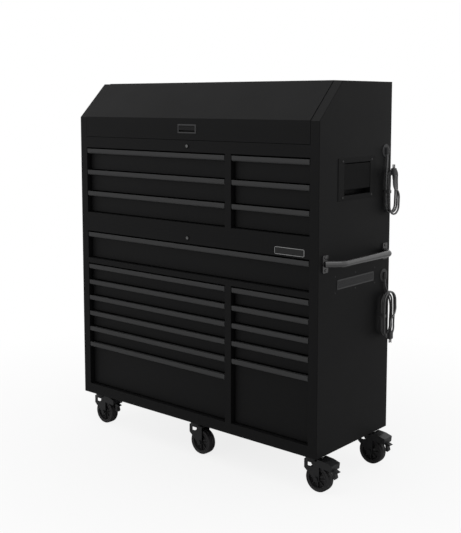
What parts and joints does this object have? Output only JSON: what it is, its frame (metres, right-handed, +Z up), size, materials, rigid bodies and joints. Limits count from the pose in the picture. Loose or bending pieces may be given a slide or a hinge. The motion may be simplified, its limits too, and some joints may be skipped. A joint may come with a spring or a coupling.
{
  "type": "tool chest and cabinet combo",
  "caption": "Sheet-metal tool chest with a sloped lid on a rolling cabinet, with full-width drawer pulls, swivel casters, a side push handle and coiled supply cords.",
  "frame": {"origin": "on the floor, under the middle of the object's box without its cords", "axes": "+X to the right seen from the front, +Y to the back, +Z up; the drawers open along -Y"},
  "size_m": [1.6294, 0.6161, 1.841],
  "materials": {
    "case_black": "fine textured black powder coat",
    "drawer_black": "fine textured black powder coat",
    "slide_steel": "zinc plated",
    "latch_plastic": "satin",
    "lock_chrome": "polished",
    "handle_black": "satin black",
    "tube_black": "satin black",
    "rod_chrome": "polished",
    "badge_plastic": "gloss",
    "vent_grey": "satin grey",
    "port_plastic": "moulded",
    "cord_rubber": "satin",
    "plug_plastic": "moulded",
    "caster_steel": "black zinc",
    "wheel_rubber": "moulded tread",
    "pedal_black": "satin black"
  },
  "bodies": {
    "case": {"chest_shell": "case_black", "cabinet_shell": "case_black", "chest_front_frame": "case_black", "cabinet_front_frame": "case_black", "drawer_slides": "slide_steel", "lid_hinge": "slide_steel", "side_handle_pans": "handle_black", "push_handle": "tube_black", "badge_plate": "badge_plastic", "side_vent": "vent_grey", "cord_glands": "port_plastic", "power_strips": "port_plastic", "caster_plates": "caster_steel", "upper_cord_lead": "cord_rubber", "lower_cord_lead": "cord_rubber", "upper_cord_hank": "cord_rubber", "lower_cord_hank": "cord_rubber", "cord_plugs": "plug_plastic"},
    "chest_left_drawer_1_body": {"chest_left_drawer_1": "drawer_black"},
    "chest_right_drawer_1_body": {"chest_right_drawer_1": "drawer_black"},
    "chest_left_drawer_2_body": {"chest_left_drawer_2": "drawer_black"},
    "chest_right_drawer_2_body": {"chest_right_drawer_2": "drawer_black"},
    "chest_left_drawer_3_body": {"chest_left_drawer_3": "drawer_black"},
    "chest_right_drawer_3_body": {"chest_right_drawer_3": "drawer_black"},
    "cabinet_wide_drawer_body": {"cabinet_wide_drawer": "drawer_black"},
    "cabinet_left_drawer_1_body": {"cabinet_left_drawer_1": "drawer_black"},
    "cabinet_left_drawer_2_body": {"cabinet_left_drawer_2": "drawer_black"},
    "cabinet_left_drawer_3_body": {"cabinet_left_drawer_3": "drawer_black"},
    "cabinet_left_drawer_4_body": {"cabinet_left_drawer_4": "drawer_black"},
    "cabinet_left_drawer_5_body": {"cabinet_left_drawer_5": "drawer_black"},
    "cabinet_left_deep_drawer_body": {"cabinet_left_deep_drawer": "drawer_black"},
    "cabinet_right_drawer_1_body": {"cabinet_right_drawer_1": "drawer_black"},
    "cabinet_right_drawer_2_body": {"cabinet_right_drawer_2": "drawer_black"},
    "cabinet_right_drawer_3_body": {"cabinet_right_drawer_3": "drawer_black"},
    "cabinet_right_drawer_4_body": {"cabinet_right_drawer_4": "drawer_black"},
    "cabinet_right_deep_drawer_body": {"cabinet_right_deep_drawer": "drawer_black"},
    "lid_body": {"lid": "case_black"},
    "struts": {"strut_cylinders": "tube_black"},
    "strut_pistons": {"strut_rods": "rod_chrome"},
    "paddle": {"latch_paddle": "latch_plastic"},
    "chest_lock_plug": {"chest_lock": "lock_chrome"},
    "cabinet_lock_plug": {"cabinet_lock": "lock_chrome"},
    "right_grip": {"side_handle_right": "handle_black"},
    "left_grip": {"side_handle_left": "handle_black"},
    "front_left_swivel": {"front_left_caster_fork": "caster_steel"},
    "front_left_wheel": {"front_left_caster_wheel": "wheel_rubber"},
    "front_left_pedal": {"front_left_brake_pedal": "pedal_black"},
    "front_middle_swivel": {"front_middle_caster_fork": "caster_steel"},
    "front_middle_wheel": {"front_middle_caster_wheel": "wheel_rubber"},
    "front_right_swivel": {"front_right_caster_fork": "caster_steel"},
    "front_right_wheel": {"front_right_caster_wheel": "wheel_rubber"},
    "front_right_pedal": {"front_right_brake_pedal": "pedal_black"},
    "rear_left_swivel": {"rear_left_caster_fork": "caster_steel"},
    "rear_left_wheel": {"rear_left_caster_wheel": "wheel_rubber"},
    "rear_left_pedal": {"rear_left_brake_pedal": "pedal_black"},
    "rear_middle_swivel": {"rear_middle_caster_fork": "caster_steel"},
    "rear_middle_wheel": {"rear_middle_caster_wheel": "wheel_rubber"},
    "rear_right_swivel": {"rear_right_caster_fork": "caster_steel"},
    "rear_right_wheel": {"rear_right_caster_wheel": "wheel_rubber"},
    "rear_right_pedal": {"rear_right_brake_pedal": "pedal_black"}
  },
  "joints": [
    {"name": "chest_left_drawer_1_slide", "type": "slide", "parent": "case", "child": "chest_left_drawer_1_body", "axis": [0, -1, 0], "range_m": [0, 0.4]},
    {"name": "chest_right_drawer_1_slide", "type": "slide", "parent": "case", "child": "chest_right_drawer_1_body", "axis": [0, -1, 0], "range_m": [0, 0.4]},
    {"name": "chest_left_drawer_2_slide", "type": "slide", "parent": "case", "child": "chest_left_drawer_2_body", "axis": [0, -1, 0], "range_m": [0, 0.4]},
    {"name": "chest_right_drawer_2_slide", "type": "slide", "parent": "case", "child": "chest_right_drawer_2_body", "axis": [0, -1, 0], "range_m": [0, 0.4]},
    {"name": "chest_left_drawer_3_slide", "type": "slide", "parent": "case", "child": "chest_left_drawer_3_body", "axis": [0, -1, 0], "range_m": [0, 0.4]},
    {"name": "chest_right_drawer_3_slide", "type": "slide", "parent": "case", "child": "chest_right_drawer_3_body", "axis": [0, -1, 0], "range_m": [0, 0.4]},
    {"name": "cabinet_wide_drawer_slide", "type": "slide", "parent": "case", "child": "cabinet_wide_drawer_body", "axis": [0, -1, 0], "range_m": [0, 0.4]},
    {"name": "cabinet_left_drawer_1_slide", "type": "slide", "parent": "case", "child": "cabinet_left_drawer_1_body", "axis": [0, -1, 0], "range_m": [0, 0.4]},
    {"name": "cabinet_left_drawer_2_slide", "type": "slide", "parent": "case", "child": "cabinet_left_drawer_2_body", "axis": [0, -1, 0], "range_m": [0, 0.4]},
    {"name": "cabinet_left_drawer_3_slide", "type": "slide", "parent": "case", "child": "cabinet_left_drawer_3_body", "axis": [0, -1, 0], "range_m": [0, 0.4]},
    {"name": "cabinet_left_drawer_4_slide", "type": "slide", "parent": "case", "child": "cabinet_left_drawer_4_body", "axis": [0, -1, 0], "range_m": [0, 0.4]},
    {"name": "cabinet_left_drawer_5_slide", "type": "slide", "parent": "case", "child": "cabinet_left_drawer_5_body", "axis": [0, -1, 0], "range_m": [0, 0.4]},
    {"name": "cabinet_left_deep_drawer_slide", "type": "slide", "parent": "case", "child": "cabinet_left_deep_drawer_body", "axis": [0, -1, 0], "range_m": [0, 0.4]},
    {"name": "cabinet_right_drawer_1_slide", "type": "slide", "parent": "case", "child": "cabinet_right_drawer_1_body", "axis": [0, -1, 0], "range_m": [0, 0.4]},
    {"name": "cabinet_right_drawer_2_slide", "type": "slide", "parent": "case", "child": "cabinet_right_drawer_2_body", "axis": [0, -1, 0], "range_m": [0, 0.4]},
    {"name": "cabinet_right_drawer_3_slide", "type": "slide", "parent": "case", "child": "cabinet_right_drawer_3_body", "axis": [0, -1, 0], "range_m": [0, 0.4]},
    {"name": "cabinet_right_drawer_4_slide", "type": "slide", "parent": "case", "child": "cabinet_right_drawer_4_body", "axis": [0, -1, 0], "range_m": [0, 0.4]},
    {"name": "cabinet_right_deep_drawer_slide", "type": "slide", "parent": "case", "child": "cabinet_right_deep_drawer_body", "axis": [0, -1, 0], "range_m": [0, 0.4]},
    {"name": "lid_hinge_turn", "type": "hinge", "parent": "case", "child": "lid_body", "pos_m": [-0.036, 0.25035, 1.836], "axis": [-1, 0, 0], "range_deg": [0, 80]},
    {"name": "strut_turn", "type": "hinge", "parent": "case", "child": "struts", "pos_m": [-0.036, 0.22615, 1.777], "axis": [-1, 0, 0], "range_deg": [0, 72.63]},
    {"name": "strut_extend", "type": "slide", "parent": "struts", "child": "strut_pistons", "axis": [0, -0.9856, 0.169], "range_m": [0, 0.07521]},
    {"name": "latch_paddle_turn", "type": "hinge", "parent": "lid_body", "child": "paddle", "pos_m": [-0.036, -0.29035, 1.6225], "axis": [-1, 0, 0], "range_deg": [0, 35], "stiffness_Nm_per_rad": 0.3, "springref_deg": -11.46},
    {"name": "chest_lock_turn", "type": "hinge", "parent": "case", "child": "chest_lock_plug", "pos_m": [-0.036, -0.29385, 1.5345], "axis": [0, 1, 0], "range_deg": [0, 90]},
    {"name": "cabinet_lock_turn", "type": "hinge", "parent": "case", "child": "cabinet_lock_plug", "pos_m": [-0.036, -0.29385, 1.0895], "axis": [0, 1, 0], "range_deg": [0, 90]},
    {"name": "side_handle_right_swing", "type": "hinge", "parent": "case", "child": "right_grip", "pos_m": [0.7307, 0.00215, 1.4635], "axis": [0, -1, 0], "range_deg": [0, 90]},
    {"name": "side_handle_left_swing", "type": "hinge", "parent": "case", "child": "left_grip", "pos_m": [-0.8027, 0.00215, 1.4635], "axis": [0, 1, 0], "range_deg": [0, 90]},
    {"name": "front_left_swivel_turn", "type": "hinge", "parent": "case", "child": "front_left_swivel", "pos_m": [-0.7447, -0.22385, 0.138], "axis": [0, 0, 1], "continuous": true},
    {"name": "front_left_wheel_spin", "type": "hinge", "parent": "front_left_swivel", "child": "front_left_wheel", "pos_m": [-0.7087, -0.22385, 0.0635], "axis": [0, 1, 0], "continuous": true},
    {"name": "front_left_pedal_press", "type": "hinge", "parent": "front_left_swivel", "child": "front_left_pedal", "pos_m": [-0.7007, -0.22385, 0.131], "axis": [0, 1, 0], "range_deg": [0, 12]},
    {"name": "front_middle_swivel_turn", "type": "hinge", "parent": "case", "child": "front_middle_swivel", "pos_m": [-0.036, -0.22385, 0.138], "axis": [0, 0, 1], "continuous": true},
    {"name": "front_middle_wheel_spin", "type": "hinge", "parent": "front_middle_swivel", "child": "front_middle_wheel", "pos_m": [0, -0.22385, 0.0635], "axis": [0, 1, 0], "continuous": true},
    {"name": "front_right_swivel_turn", "type": "hinge", "parent": "case", "child": "front_right_swivel", "pos_m": [0.6727, -0.22385, 0.138], "axis": [0, 0, 1], "continuous": true},
    {"name": "front_right_wheel_spin", "type": "hinge", "parent": "front_right_swivel", "child": "front_right_wheel", "pos_m": [0.7087, -0.22385, 0.0635], "axis": [0, 1, 0], "continuous": true},
    {"name": "front_right_pedal_press", "type": "hinge", "parent": "front_right_swivel", "child": "front_right_pedal", "pos_m": [0.7167, -0.22385, 0.131], "axis": [0, 1, 0], "range_deg": [0, 12]},
    {"name": "rear_left_swivel_turn", "type": "hinge", "parent": "case", "child": "rear_left_swivel", "pos_m": [-0.7447, 0.22035, 0.138], "axis": [0, 0, 1], "continuous": true},
    {"name": "rear_left_wheel_spin", "type": "hinge", "parent": "rear_left_swivel", "child": "rear_left_wheel", "pos_m": [-0.7087, 0.22035, 0.0635], "axis": [0, 1, 0], "continuous": true},
    {"name": "rear_left_pedal_press", "type": "hinge", "parent": "rear_left_swivel", "child": "rear_left_pedal", "pos_m": [-0.7007, 0.22035, 0.131], "axis": [0, 1, 0], "range_deg": [0, 12]},
    {"name": "rear_middle_swivel_turn", "type": "hinge", "parent": "case", "child": "rear_middle_swivel", "pos_m": [-0.036, 0.22035, 0.138], "axis": [0, 0, 1], "continuous": true},
    {"name": "rear_middle_wheel_spin", "type": "hinge", "parent": "rear_middle_swivel", "child": "rear_middle_wheel", "pos_m": [0, 0.22035, 0.0635], "axis": [0, 1, 0], "continuous": true},
    {"name": "rear_right_swivel_turn", "type": "hinge", "parent": "case", "child": "rear_right_swivel", "pos_m": [0.6727, 0.22035, 0.138], "axis": [0, 0, 1], "continuous": true},
    {"name": "rear_right_wheel_spin", "type": "hinge", "parent": "rear_right_swivel", "child": "rear_right_wheel", "pos_m": [0.7087, 0.22035, 0.0635], "axis": [0, 1, 0], "continuous": true},
    {"name": "rear_right_pedal_press", "type": "hinge", "parent": "rear_right_swivel", "child": "rear_right_pedal", "pos_m": [0.7167, 0.22035, 0.131], "axis": [0, 1, 0], "range_deg": [0, 12]}
  ],
  "couplings": [
    {"joint": "strut_turn", "follows": "lid_hinge_turn", "ratio": 0.9078},
    {"joint": "strut_extend", "follows": "lid_hinge_turn", "m_per_rad": 0.053858}
  ]
}
